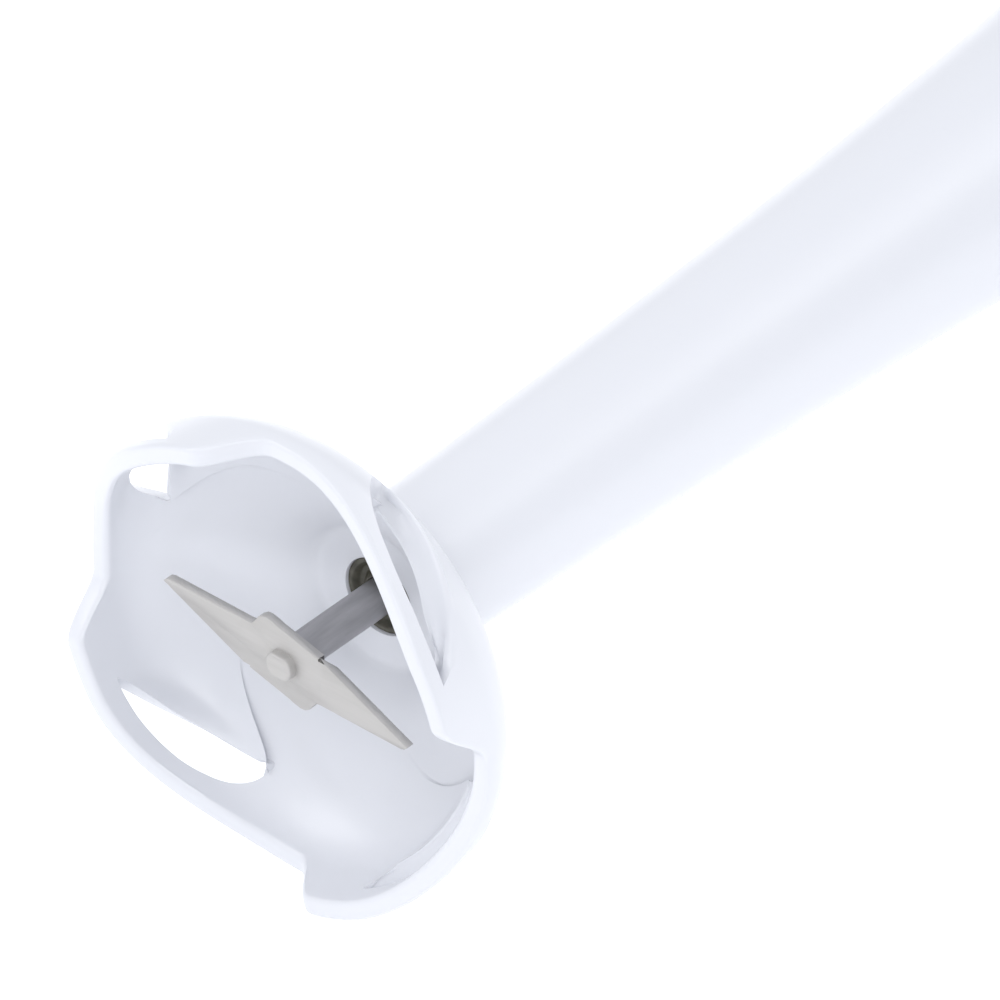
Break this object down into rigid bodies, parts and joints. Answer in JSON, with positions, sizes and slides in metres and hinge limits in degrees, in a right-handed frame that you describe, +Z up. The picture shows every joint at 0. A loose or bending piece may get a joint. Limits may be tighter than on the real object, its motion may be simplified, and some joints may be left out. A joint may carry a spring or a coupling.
{
  "type": "immersion blender",
  "caption": "Immersion blender lying on its side: open bell guard with a wavy slotted rim round a flat two-winged steel blade, slim tapered wand and rounded motor body with push buttons on top",
  "frame": {"origin": "centre of the footprint, on the table the blender lies on", "axes": "+Z up; +Y along the drive axis from the bell guard to the motor body; +X to the right of someone looking along +Y; buttons face +Z"},
  "size_m": [0.0652, 0.4, 0.0673],
  "materials": {
    "white_plastic": "glossy white moulded plastic with a faint fine texture",
    "white_matte": "plain white moulded plastic, as inside the body",
    "button_grey": "satin light grey plastic",
    "steel": "brushed stainless steel",
    "spring_steel": "drawn spring steel wire",
    "seal_rubber": "dark olive rubber",
    "black_rubber": "soft black rubber",
    "bronze": "sintered bronze, slightly oily",
    "black_plastic": "black engineering plastic",
    "plated_steel": "zinc plated pressed steel",
    "ferrite": "dark grey sintered ferrite",
    "laminated_steel": "stacked thin steel sheets",
    "copper": "varnished copper",
    "carbon": "pressed carbon",
    "board": "green fibreglass board with solder mask"
  },
  "bodies": {
    "motor_body": {"shell_top": "white_plastic", "shell_bottom": "white_plastic", "shell_screws": "plated_steel", "wand_socket": "white_matte", "wire_catch": "spring_steel", "end_cap": "white_plastic", "cord_inlet": "black_rubber", "motor_can": "plated_steel", "magnets": "ferrite", "brush_plate": "black_plastic", "brushes": "carbon", "front_bearing": "bronze", "rear_bearing": "bronze", "motor_rings": "black_rubber", "circuit_board": "board", "switches": "black_plastic", "capacitor": "black_plastic", "button_bridge": "white_matte", "power_spring": "spring_steel", "turbo_spring": "spring_steel"},
    "rotor": {"motor_shaft": "steel", "armature_core": "laminated_steel", "windings": "copper", "commutator": "copper", "fan": "white_matte", "drive_hub": "black_plastic"},
    "wand": {"bell_guard": "white_plastic", "wand_tube": "white_plastic", "shaft_seal": "seal_rubber", "lower_bush": "bronze", "upper_bush": "bronze", "shaft_carrier": "white_matte"},
    "cutter": {"drive_shaft": "steel", "retaining_clip": "spring_steel", "blade": "steel", "drive_dog": "black_plastic"},
    "power_button": {"power_button": "button_grey"},
    "turbo_button": {"turbo_button": "button_grey"},
    "release_left": {"release_left": "button_grey"},
    "release_right": {"release_right": "button_grey"}
  },
  "joints": [
    {"name": "wand_off", "type": "slide", "parent": "motor_body", "child": "wand", "axis": [0, -1, 0], "range_m": [0, 0.06]},
    {"name": "blade_spin", "type": "hinge", "parent": "wand", "child": "cutter", "pos_m": [0, -0.1932, 0.0326], "axis": [0, 1, 0], "continuous": true},
    {"name": "rotor_spin", "type": "hinge", "parent": "motor_body", "child": "rotor", "pos_m": [0, 0.0668, 0.0326], "axis": [0, 1, 0], "continuous": true},
    {"name": "power_press", "type": "slide", "parent": "motor_body", "child": "power_button", "axis": [0, 0, -1], "range_m": [0, 0.002], "stiffness_N_per_m": 900, "springref_m": -0.002, "deforming": ["power_spring"]},
    {"name": "turbo_press", "type": "slide", "parent": "motor_body", "child": "turbo_button", "axis": [0, 0, -1], "range_m": [0, 0.002], "stiffness_N_per_m": 900, "springref_m": -0.002, "deforming": ["turbo_spring"]},
    {"name": "release_left_press", "type": "slide", "parent": "motor_body", "child": "release_left", "axis": [1, 0, 0], "range_m": [0, 0.0012], "stiffness_N_per_m": 1200, "springref_m": -0.001},
    {"name": "release_right_press", "type": "slide", "parent": "motor_body", "child": "release_right", "axis": [-1, 0, 0], "range_m": [0, 0.0012], "stiffness_N_per_m": 1200, "springref_m": -0.001}
  ],
  "couplings": [
    {"joint": "blade_spin", "follows": "rotor_spin", "ratio": 1}
  ]
}
